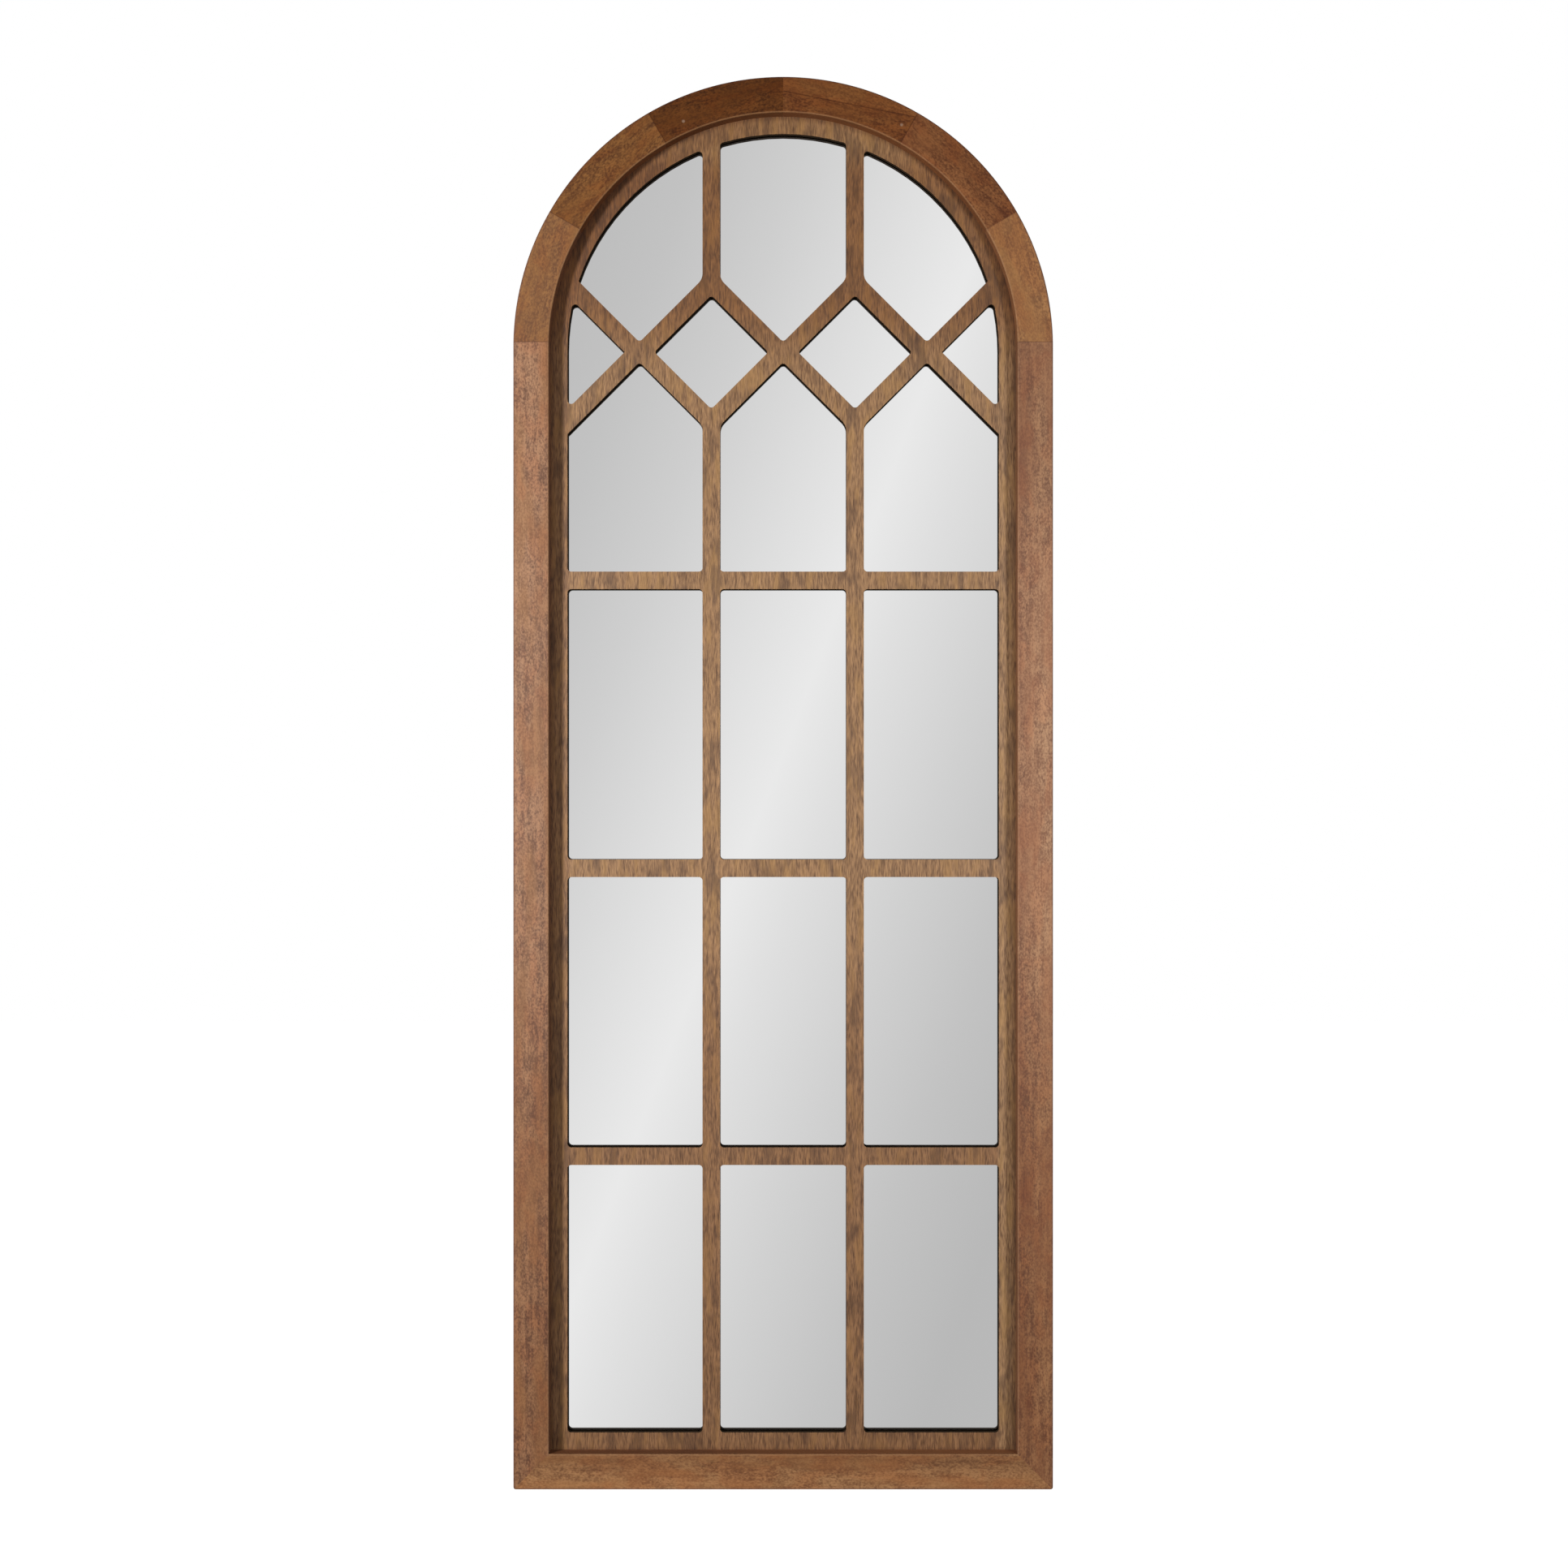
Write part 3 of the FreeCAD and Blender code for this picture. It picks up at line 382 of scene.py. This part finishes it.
def latticeWood():
    look = latticeFinish
    wood = finishFor("pane lattice wood")
    place = wood.place()
    across, deep, up = wood.axes(place)
    reach = reachOf(across, up)

    # upright grain with golden streaks and dark patches
    grain = wood.noise(place, *look["grain"])
    fine = wood.noise(place, *look["fine"])
    glow = wood.ramp(wood.noise(place, *look["glow"]), *look["glowRange"])
    patch = wood.ramp(wood.noise(place, *look["patch"]), *look["patchRange"])
    lit = wood.ramp(grain * look["grainShare"] + fine * look["fineShare"], *look["litRange"])
    colour = wood.mix(lit, look["deep"], look["pale"])
    colour = wood.mix(glow * look["glowShare"], colour, look["golden"])
    colour = wood.mix(patch * look["patchShare"], colour, look["plum"])

    # painted shade towards the top of the head, at the crown and low down, and a border with painted shade at the
    # left and painted light at the right
    crownShade = wood.ramp(up, *look["crownRange"])
    headShade = wood.ramp(up, *look["headShadeRange"]) * (1 - crownShade)
    colour = wood.stain(headShade, colour, look["headShadeTint"])
    colour = wood.stain(crownShade, colour, look["crownShadeTint"])
    border = wood.ramp(reach, *around(innerEdge - look["border"], look["borderRange"]))
    sideLight = wood.mix(wood.ramp(across, *look["borderSpan"]), look["leftShadeTint"], look["rightLightTint"])
    colour = wood.stain(border, colour, sideLight)
    colour = wood.stain((1 - border) * wood.ramp(up, *look["lowRange"]), colour, look["lowShadeTint"])

    # painted shade in the corner where the frame's lip stands over it
    footShade = wood.ramp(up, *around(footLip, look["footShadeRange"])) * look["footShadeShare"]
    cornerShade = wood.ramp(reach, *around(innerEdge, look["lipRange"])).most(footShade)
    colour = wood.stain(cornerShade, colour, look["cornerShadeTint"])

    # the finished face, and the dark walls that were cut through it
    face = wood.shader({"Base Color": colour, "IOR": look["index"],
                        "Roughness": wood.ramp(fine, *look["sheenRange"], look["dull"], look["shiny"]),
                        "Normal": wood.bump(fine, look["relief"], look["reliefDepth"])})
    cut = wood.shader({"Base Color": wood.mix(fine, look["cutDark"], look["cutPale"]),
                       "Roughness": look["cutDull"], "IOR": look["cutIndex"]})
    shown = wood.ramp(deep, *around(latticeFront, look["faceDepth"]))
    wood.surface(wood.node("ShaderNodeMixShader", None, {0: shown, 1: cut, 2: face}))
    return wood


coat("pane_lattice", latticeWood())


# ---- mirror and its backing

mirrorFinish = {
    "clear": 0.002,                            # how far behind the clear glass the silver seems to lie
    "silver": (0.985, 0.985, 0.985), "silverDepth": (0.0004, 0.0002), "weld": 0.00001, "faceSlack": 0.0001,
    "paint": ink(120, 122, 126), "speckColour": ink(96, 98, 102), "speck": ((400, 400, 400), 3),
    "speckShare": 0.3, "paintDull": 0.5,
}
boardBack = {
    "pale": ink(150, 118, 84), "deep": ink(116, 86, 58), "chips": ((700, 700, 700), 4, 0.7),
    "cloud": ((12, 12, 12), 3), "chipShare": 0.85, "cloudShare": 0.15, "litRange": (0.34, 0.66),
    "weave": 0.0016, "weaveRange": (0.2, 0.9), "weaveShare": 0.35, "weaveRelief": 0.6,
    "relief": 0.5, "reliefDepth": 0.0003, "dull": 0.85,
}


def mirrorSilver():
    look = mirrorFinish
    glass = finishFor("mirror")
    place = glass.place()
    across, deep, up = glass.axes(place)
    front = glass.ramp(deep, *around(glassFront + look["clear"], look["silverDepth"]))
    speck = glass.noise(place, *look["speck"]) * look["speckShare"]
    colour = glass.mix(front, glass.mix(speck, look["paint"], look["speckColour"]), look["silver"])
    dull = glass.ramp(front, 0.0, 1.0, look["paintDull"], 0.0)
    glass.surface(glass.shader({"Base Color": colour, "Metallic": front, "Roughness": dull}))
    return glass


def hardboard():
    look = boardBack
    fibre = finishFor("hardboard")
    place = fibre.place()
    across, deep, up = fibre.axes(place)
    turn = 2 * pi / look["weave"]
    weave = (across * turn).sine() * (up * turn).sine()
    chips = fibre.noise(place, *look["chips"])
    cloud = fibre.noise(place, *look["cloud"])
    lit = fibre.ramp(chips * look["chipShare"] + cloud * look["cloudShare"], *look["litRange"])
    colour = fibre.mix(lit, look["deep"], look["pale"])
    colour = fibre.mix(fibre.ramp(weave, *look["weaveRange"]) * look["weaveShare"], colour, look["deep"])
    relief = fibre.bump(chips - weave * look["weaveRelief"], look["relief"], look["reliefDepth"])
    fibre.surface(fibre.shader({"Base Color": colour, "Roughness": look["dull"], "Normal": relief}))
    return fibre


silver = nodes["mirror_glass"].copy()
silver.data = nodes["mirror_glass"].data.copy()
silver.name = "mirrorSilver"
bpy.context.scene.collection.objects.link(silver)
bpy.ops.object.select_all(action="DESELECT")
silver.select_set(True)
bpy.context.view_layer.objects.active = silver
bpy.ops.object.mode_set(mode="EDIT")
bpy.ops.mesh.select_all(action="SELECT")
bpy.ops.mesh.remove_doubles(threshold=mirrorFinish["weld"])
bpy.ops.mesh.select_all(action="DESELECT")
bpy.ops.object.mode_set(mode="OBJECT")
for cornerShade in silver.data.vertices:            # the front face only
    cornerShade.select = cornerShade.co.y < glassFront + mirrorFinish["faceSlack"]
bpy.ops.object.mode_set(mode="EDIT")
bpy.ops.transform.translate(value=(0.0, mirrorFinish["clear"], 0.0))
bpy.ops.object.mode_set(mode="OBJECT")
silver.data.materials.clear()
silver.data.materials.append(mirrorSilver().owner)
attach(silver, "frame")
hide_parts("mirror_glass")
coat("backing_board", hardboard())
print("mirror, lattice and backing finished")


# ---- steel, rubber and the hidden dowels

steelFinish = {
    "light": ink(206, 208, 212), "dark": ink(158, 161, 168), "plate": (240, 240, 240), "wire": (420, 420, 420),
    "bloomDetail": 3, "bloomRough": 0.6, "bloomShare": 0.7, "scratch": ((2600, 2600, 160), 2), "scratchShare": 0.3,
    "wornRange": (0.38, 0.62), "dull": 0.46, "shiny": 0.34, "relief": 0.15, "reliefDepth": 0.0001,
}
rubberFinish = {
    "dark": ink(38, 38, 40), "dusty": ink(58, 58, 60), "dust": ((900, 900, 900), 4, 0.65), "dustRange": (0.4, 0.65),
    "sheenRange": (0.3, 0.7), "shiny": 0.62, "dull": 0.8, "relief": 0.4, "reliefDepth": 0.0002,
}
beechFinish = {
    "deep": ink(190, 150, 110), "pale": ink(214, 178, 138), "fleck": ((900, 900, 900), 3), "fleckRange": (0.4, 0.6),
    "dull": 0.6,
}


def zincSteel(name, grain):
    look = steelFinish
    steel = finishFor(name)
    place = steel.place()
    bloom = steel.noise(place, grain, look["bloomDetail"], look["bloomRough"])
    scratch = steel.noise(place, *look["scratch"])
    worn = steel.ramp(bloom * look["bloomShare"] + scratch * look["scratchShare"], *look["wornRange"])
    steel.surface(steel.shader({
        "Base Color": steel.mix(worn, look["dark"], look["light"]), "Metallic": 1.0,
        "Roughness": steel.ramp(worn, 0.0, 1.0, look["dull"], look["shiny"]),
        "Normal": steel.bump(scratch, look["relief"], look["reliefDepth"])}))
    return steel


def bumperRubber():
    look = rubberFinish
    rubber = finishFor("bumper rubber")
    dust = rubber.noise(rubber.place(), *look["dust"])
    rubber.surface(rubber.shader({
        "Base Color": rubber.mix(rubber.ramp(dust, *look["dustRange"]), look["dark"], look["dusty"]),
        "Roughness": rubber.ramp(dust, *look["sheenRange"], look["shiny"], look["dull"]),
        "Normal": rubber.bump(dust, look["relief"], look["reliefDepth"])}))
    return rubber


def dowelBeech():
    look = beechFinish
    beech = finishFor("dowel beech")
    fleck = beech.ramp(beech.noise(beech.place(), *look["fleck"]), *look["fleckRange"])
    beech.surface(beech.shader({"Base Color": beech.mix(fleck, look["deep"], look["pale"]),
                                "Roughness": look["dull"]}))
    return beech


plate = zincSteel("zinc plate", steelFinish["plate"])
wire = zincSteel("zinc wire", steelFinish["wire"])
for name in ("backing_points", "corner_nails", "hanger_screws", "hanger_strap_left", "hanger_strap_right"):
    coat(name, plate)
for name in ("hanger_ring_left", "hanger_ring_right"):
    coat(name, wire)
rubber = bumperRubber()
for name in ("bumper_left", "bumper_right"):
    coat(name, rubber)
coat("joint_dowels", dowelBeech())
print("fittings finished")


# ---- floor, room light, lamps and camera

room = {
    "floorHeight": -1.83, "floorHalf": 14.0, "floorColour": (0.80, 0.80, 0.80), "gritColour": ink(218, 218, 218),
    "grit": ((6, 6, 6), 3), "gritShare": 0.1, "nearRadius": 0.5, "farRadius": 2.7, "glowNear": 0.50, "glowFar": 1.0,
    "fill": 0.10, "sheenAhead": 0.03, "sheenBehind": 0.50, "sheenRange": (0.05, 0.60), "slant": 21.0,
}
# how bright the wall of the room is where a mirror shows it, by the sine of the angle across the slant
wallShades = [(-0.60, 196), (-0.15, 190), (-0.12, 195.4), (-0.08, 208), (-0.005, 235), (0.02, 224.5), (0.06, 210),
              (0.10, 196), (0.14, 185.5), (0.60, 190)]
white = (1.0, 1.0, 1.0)

bpy.ops.object.select_all(action="DESELECT")
bpy.ops.mesh.primitive_plane_add(size=2 * room["floorHalf"], location=(0.0, 0.0, room["floorHeight"]))
floor = bpy.context.object
floor.name = "floor"
bpy.ops.object.transform_apply(location=True, rotation=True, scale=True)
floor.visible_glossy = False
pale = finishFor("pale floor")
spot = pale.place()
grit = pale.noise(spot, *room["grit"]) * room["gritShare"]
ground = pale.node("ShaderNodeBsdfDiffuse", None, {"Color": pale.mix(grit, room["floorColour"], room["gritColour"])})
# the floor glows more the farther it lies, to the camera alone, so its end melts into the white behind
away = pale.node("ShaderNodeVectorMath", {"operation": "LENGTH"}, {0: pale.stretch(spot, 1, 1, 0)}, "Value")
glow = pale.ramp(away, room["nearRadius"], room["farRadius"], room["glowNear"], room["glowFar"])
glow = pale.node("ShaderNodeEmission", None, {"Color": pale.ray("Is Camera Ray") * glow, "Strength": 1.0})
pale.surface(pale.node("ShaderNodeAddShader", None, {0: ground, 1: glow}))
floor.data.materials.append(pale.owner)

# the world: white to the camera, a slanting band of light in the mirror, and a faint fill for all else
world = bpy.context.scene.world or bpy.data.worlds.new("room")
bpy.context.scene.world = world
sky = Paint(world)
sideways, onward, upward = sky.axes(sky.node("ShaderNodeTexCoord", None, None, "Generated"))
slant = radians(room["slant"])
spot = sideways * cos(slant) - upward * sin(slant)
start, end = wallShades[0][0], wallShades[-1][0]
stops = [((place - start) / (end - start), ink(grey, grey, grey)) for place, grey in wallShades]
wall = sky.node("ShaderNodeValToRGB", {"stops": stops}, {0: (spot - start) / (end - start)})
mirrored = sky.ray("Is Singular Ray")
straight = sky.ray("Is Camera Ray").most(sky.ray("Is Transmission Ray"))
sheen = sky.ramp(onward, *room["sheenRange"], room["sheenAhead"], room["sheenBehind"])
strength = sky.blend(sky.ray("Is Glossy Ray"), room["fill"], sheen)
strength = sky.blend(mirrored, strength, 1.0)
strength = sky.blend(straight, strength, 1.0)
backdrop = sky.node("ShaderNodeBackground", None, {"Color": sky.mix(mirrored, white, wall), "Strength": strength})
sky.node("ShaderNodeOutputWorld", None, {"Surface": backdrop})

lamps = {
    "left strip": {"place": (-1.06, -1.138, -0.20), "aim": (0.0, -0.03, -0.20), "size": (0.20, 0.30),
                   "power": 18.0, "glossy": True},
    "right strip": {"place": (0.886, -1.138, -0.20), "aim": (0.0, -0.03, -0.20), "size": (0.20, 0.30),
                    "power": 7.8, "glossy": True},
    "back soft": {"place": (0.5, 2.2, 1.1), "aim": (0.0, 0.0, -0.25), "size": (1.6, 1.6),
                  "power": 74.0, "glossy": False},
}
unlit = bpy.data.collections.new("shows no lamp")        # the mirror shows the room but not the lamps in it
unlit.objects.link(silver)
for item in unlit.collection_objects:
    item.light_linking.link_state = "EXCLUDE"
for name, lamp in lamps.items():
    light = bpy.data.lights.new(name, "AREA")
    light.shape = "RECTANGLE"
    light.size, light.size_y = lamp["size"]
    light.energy = lamp["power"]
    holder = bpy.data.objects.new(name, light)
    bpy.context.scene.collection.objects.link(holder)
    holder.location = lamp["place"]
    aim = Vector(lamp["aim"]) - Vector(lamp["place"])
    holder.rotation_euler = aim.to_track_quat("-Z", "Y").to_euler()
    holder.visible_camera = False
    holder.visible_glossy = lamp["glossy"]
    holder.light_linking.receiver_collection = unlit

shot = {"lens": 56.93, "sensor": 36.0, "near": 0.01, "place": (0.0007, -2.138, -0.2823)}
lens = bpy.data.cameras.new("front view")
lens.lens, lens.sensor_width, lens.clip_start = shot["lens"], shot["sensor"], shot["near"]
camera = bpy.data.objects.new("front view", lens)
camera.location, camera.rotation_euler = shot["place"], (pi / 2, 0.0, 0.0)
bpy.context.scene.collection.objects.link(camera)
bpy.context.scene.camera = camera
bpy.context.scene.view_settings.view_transform = "Standard"
print("room and camera set")
